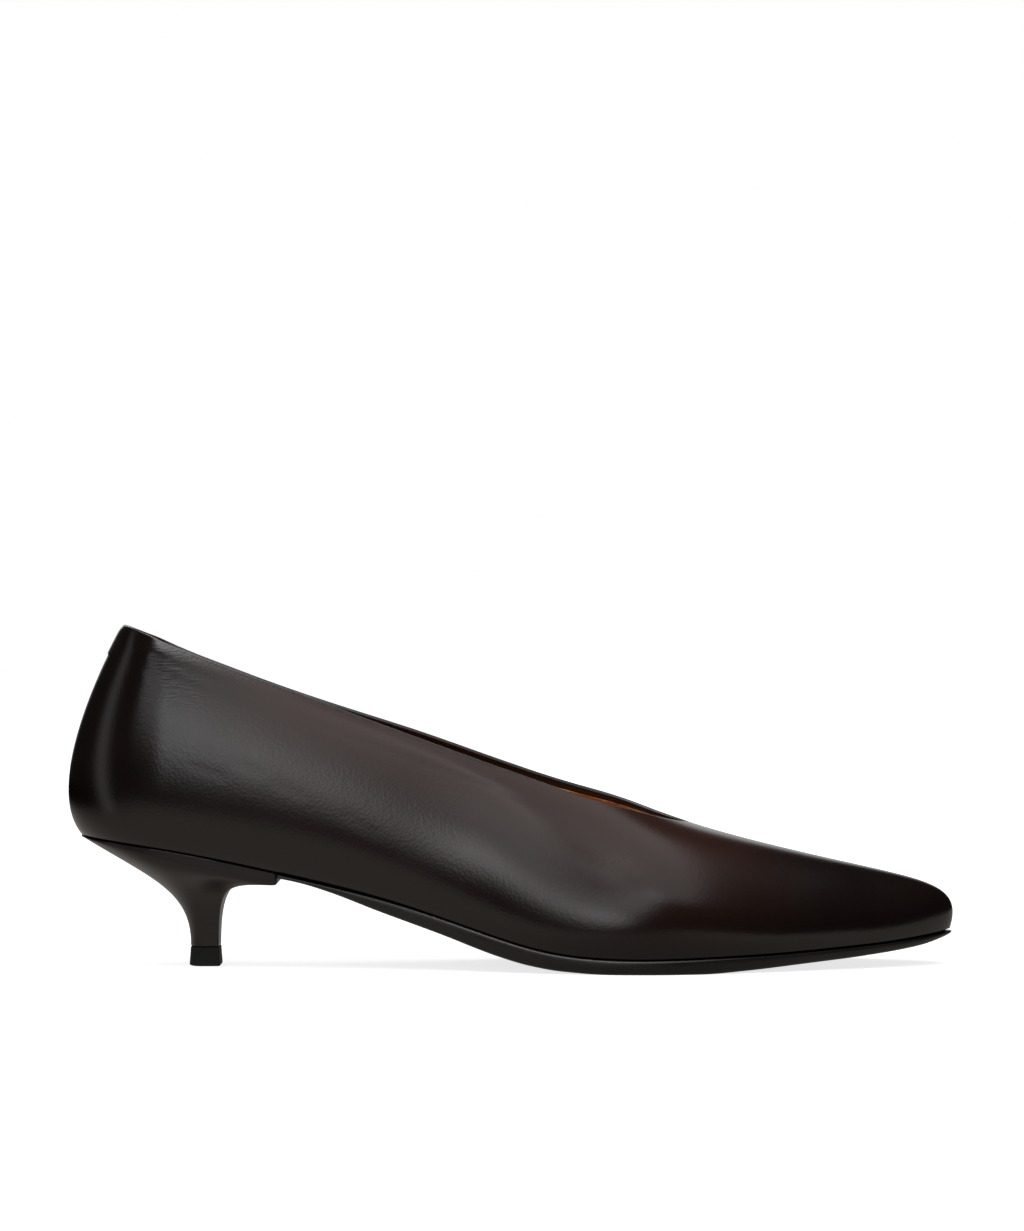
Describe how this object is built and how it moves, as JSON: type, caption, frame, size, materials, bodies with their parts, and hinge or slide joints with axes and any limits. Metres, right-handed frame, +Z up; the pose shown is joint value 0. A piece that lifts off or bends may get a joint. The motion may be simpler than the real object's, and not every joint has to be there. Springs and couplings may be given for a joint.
{
  "type": "kitten-heel pump",
  "caption": "Closed pump for the right foot: hollow leather upper with a V-cut collar and soft pointed toe on an insole, thin outsole, low covered heel and top lift.",
  "frame": {"origin": "on the floor plane, under the middle of the shoe's bounding box", "axes": "+X from heel to toe, +Y to the inner (medial) side of the right foot, +Z up from the floor"},
  "size_m": [0.2624, 0.0756, 0.1001],
  "materials": {
    "upper_leather": "smooth dark brown calf leather, soft polish",
    "lining_leather": "plain tan lining leather, matt",
    "sole_leather": "black sole leather with a waxed edge",
    "heel_cover": "dark brown leather stretched over a moulded heel",
    "lift_rubber": "black top-piece rubber, satin"
  },
  "bodies": {
    "root": {"upper": "upper_leather", "insole": "lining_leather", "outsole": "sole_leather", "heel": "heel_cover", "top_lift": "lift_rubber", "back_tab": "upper_leather"}
  },
  "joints": []
}
